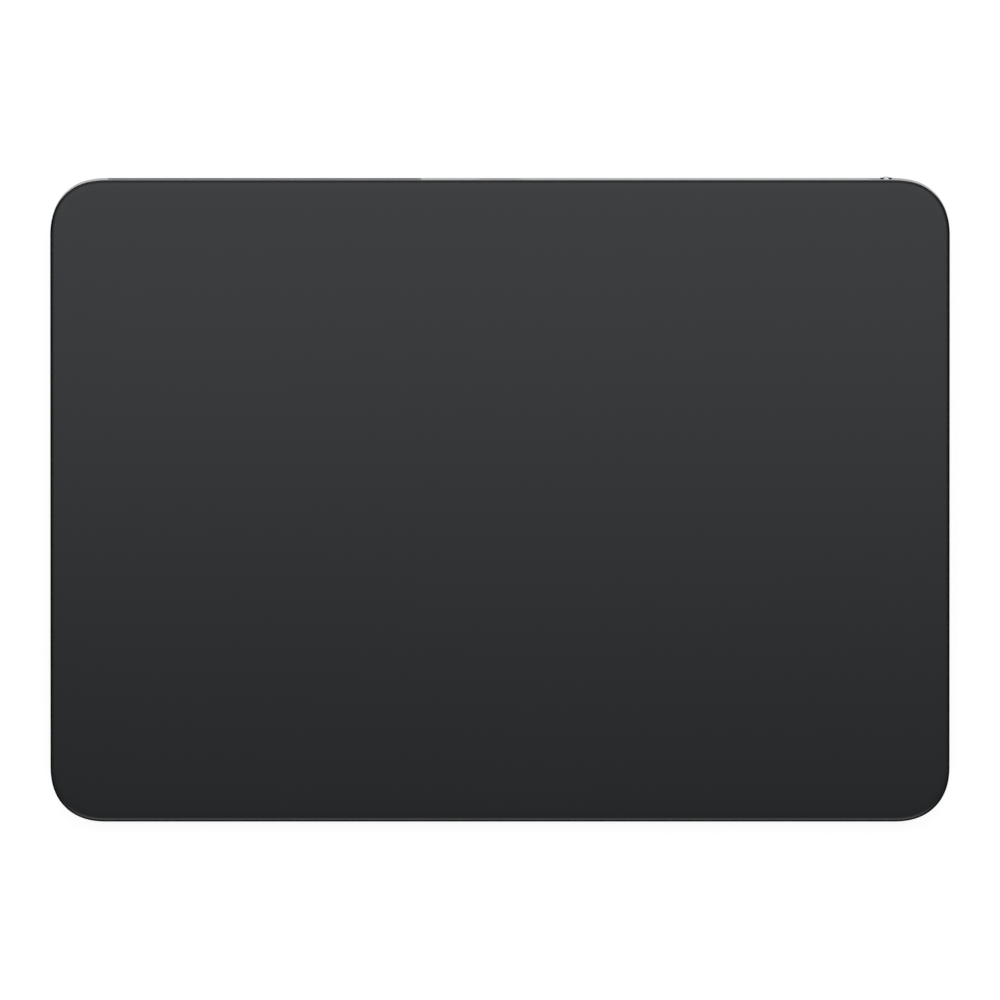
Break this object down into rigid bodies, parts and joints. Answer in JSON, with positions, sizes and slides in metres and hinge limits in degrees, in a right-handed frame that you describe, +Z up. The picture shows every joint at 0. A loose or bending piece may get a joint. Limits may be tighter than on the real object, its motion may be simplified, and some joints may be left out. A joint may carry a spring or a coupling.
{
  "type": "desk trackpad",
  "caption": "Wedge-shaped wireless desk trackpad with an edge-to-edge black glass touch surface, an aluminium tray case, rear charging port, antenna window and power switch.",
  "frame": {"origin": "centre of the outline on the surface that the feet stand on", "axes": "+X to the user's right, +Y to the rear wall with the port and switch, +Z up"},
  "size_m": [0.16, 0.1148, 0.0108],
  "materials": {
    "anodised_case": "bead-blasted, anodised silver grey",
    "touch_glass": "black back-printed glass, etched satin",
    "window_plastic": "moulded, matt grey",
    "cover_panel": "moulded sheet, matt grey",
    "foot_rubber": "moulded, matt",
    "knob_aluminium": "machined, anodised",
    "switch_plastic": "moulded grey",
    "green_film": "printed film",
    "port_plastic": "moulded black",
    "steel": "rolled spring and bracket steel",
    "gold_contact": "gold plated",
    "copper_coil": "enamelled copper wire, wound",
    "circuit_board": "solder-masked fibre laminate",
    "chip_resin": "moulded resin",
    "flex_film": "polyimide film",
    "cell_foil": "laminated pouch foil",
    "adhesive": "adhesive sheet",
    "foam": "closed-cell foam",
    "gel": "silicone gel"
  },
  "bodies": {
    "case": {"actuator_bracket": "steel", "actuator_coils": "copper_coil", "actuator_cores": "steel", "actuator_flex": "flex_film", "actuator_screws": "steel", "antenna_flex": "flex_film", "antenna_window": "window_plastic", "battery_adhesive": "adhesive", "battery_cell": "cell_foil", "battery_circuit": "circuit_board", "battery_flex": "flex_film", "board_chips": "chip_resin", "board_connectors": "port_plastic", "board_screws": "steel", "bottom_cover": "cover_panel", "cover_adhesive": "adhesive", "flexure_front_left": "steel", "flexure_front_right": "steel", "flexure_rear_left": "steel", "flexure_rear_right": "steel", "flexure_screws": "steel", "foam_seal": "foam", "foot_front_left": "foot_rubber", "foot_front_right": "foot_rubber", "foot_rear_left": "foot_rubber", "foot_rear_right": "foot_rubber", "lower_case": "anodised_case", "main_board": "circuit_board", "on_indicator": "green_film", "port_bracket": "steel", "port_contacts": "gold_contact", "port_flex": "flex_film", "port_receptacle": "port_plastic", "port_screws": "steel", "port_shell": "steel", "sensor_flex": "flex_film", "strain_gauges": "flex_film", "switch_base": "switch_plastic", "switch_flex": "flex_film", "wireless_shield": "steel"},
    "gel_mount": {"gel_pads": "gel"},
    "touch_plate": {"glass_surface": "touch_glass", "sensor_adhesive": "adhesive", "touch_sensor_board": "circuit_board", "touch_chips": "chip_resin", "stiffener": "steel", "attraction_bars": "steel"},
    "power_switch": {"switch_knob": "knob_aluminium", "switch_slider": "switch_plastic"}
  },
  "joints": [
    {"name": "surface_press", "type": "slide", "parent": "case", "child": "gel_mount", "axis": [0, 0.0525, -0.9986], "range_m": [0, 0.0002], "stiffness_N_per_m": 20000, "springref_m": -0.00012, "deforming": ["foam_seal", "sensor_flex", "flexure_front_left", "flexure_front_right", "flexure_rear_left", "flexure_rear_right"]},
    {"name": "haptic_shift", "type": "slide", "parent": "gel_mount", "child": "touch_plate", "axis": [1, 0, 0], "range_m": [-0.00015, 0.00015], "stiffness_N_per_m": 50000},
    {"name": "power_slide", "type": "slide", "parent": "case", "child": "power_switch", "axis": [-1, 0, 0], "range_m": [0, 0.00214]}
  ]
}
